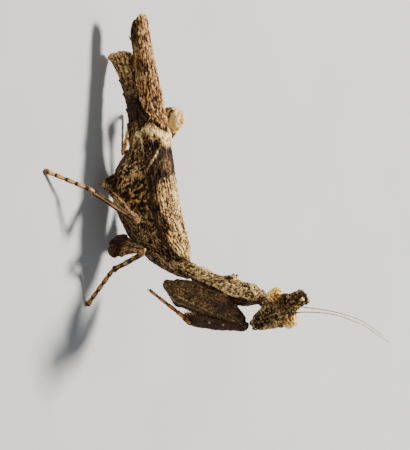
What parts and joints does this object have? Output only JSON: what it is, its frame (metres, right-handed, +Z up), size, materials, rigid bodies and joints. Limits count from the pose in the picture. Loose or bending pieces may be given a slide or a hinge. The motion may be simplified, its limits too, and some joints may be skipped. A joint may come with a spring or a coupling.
{
  "type": "praying mantis",
  "caption": "Small bark-mimicking horned mantis, still life-size model: belly low, prothorax raised, forelegs folded, head turned to its right, wings rolled to a twig-like tube.",
  "frame": {"origin": "on the floor, under the middle of the whole animal's box", "axes": "+X the way the body points, from wing tips to head; +Y the animal's left; +Z up from the floor"},
  "size_m": [0.0332, 0.0214, 0.0336],
  "materials": {
    "thorax_bark": "dry bark-like cuticle, crinkled",
    "abdomen_bark": "dry bark-like cuticle, fine-grained",
    "prothorax_bark": "dry granular cuticle",
    "neck_skin": "soft folded skin",
    "face_bark": "rough dark cuticle with pale ridges",
    "mouthparts": "smooth horny cuticle",
    "eye": "glossy, finely striped",
    "antenna": "matt ringed thread",
    "forewing_bark": "leathery wing cover, bark-like veins",
    "hindwing": "thin folded membrane",
    "leg_bark": "rough cuticle",
    "leg_banded": "cuticle banded pale and dark",
    "foreleg_bark": "rough dark cuticle"
  },
  "bodies": {
    "root": {"abdomen_front": "abdomen_bark", "abdomen_rear": "abdomen_bark", "abdomen_tip": "abdomen_bark", "antenna_left": "antenna", "antenna_right": "antenna", "eye_left": "eye", "eye_right": "eye", "foreleg_left_coxa": "foreleg_bark", "foreleg_left_femur": "foreleg_bark", "foreleg_left_tarsus": "leg_banded", "foreleg_left_tibia": "foreleg_bark", "foreleg_right_coxa": "foreleg_bark", "foreleg_right_femur": "foreleg_bark", "foreleg_right_tarsus": "leg_banded", "foreleg_right_tibia": "foreleg_bark", "forewing_left": "forewing_bark", "forewing_right": "forewing_bark", "head": "face_bark", "hindleg_left_coxa": "leg_bark", "hindleg_left_femur": "leg_bark", "hindleg_left_tarsus": "leg_banded", "hindleg_left_tibia": "leg_banded", "hindleg_right_coxa": "leg_bark", "hindleg_right_femur": "leg_bark", "hindleg_right_tarsus": "leg_banded", "hindleg_right_tibia": "leg_banded", "hindwings_folded": "hindwing", "horn": "face_bark", "midleg_left_coxa": "leg_bark", "midleg_left_femur": "leg_bark", "midleg_left_tarsus": "leg_banded", "midleg_left_tibia": "leg_banded", "midleg_right_coxa": "leg_bark", "midleg_right_femur": "leg_bark", "midleg_right_tarsus": "leg_banded", "midleg_right_tibia": "leg_banded", "mouthparts": "mouthparts", "neck": "neck_skin", "prothorax": "prothorax_bark", "pterothorax": "thorax_bark"}
  },
  "joints": []
}
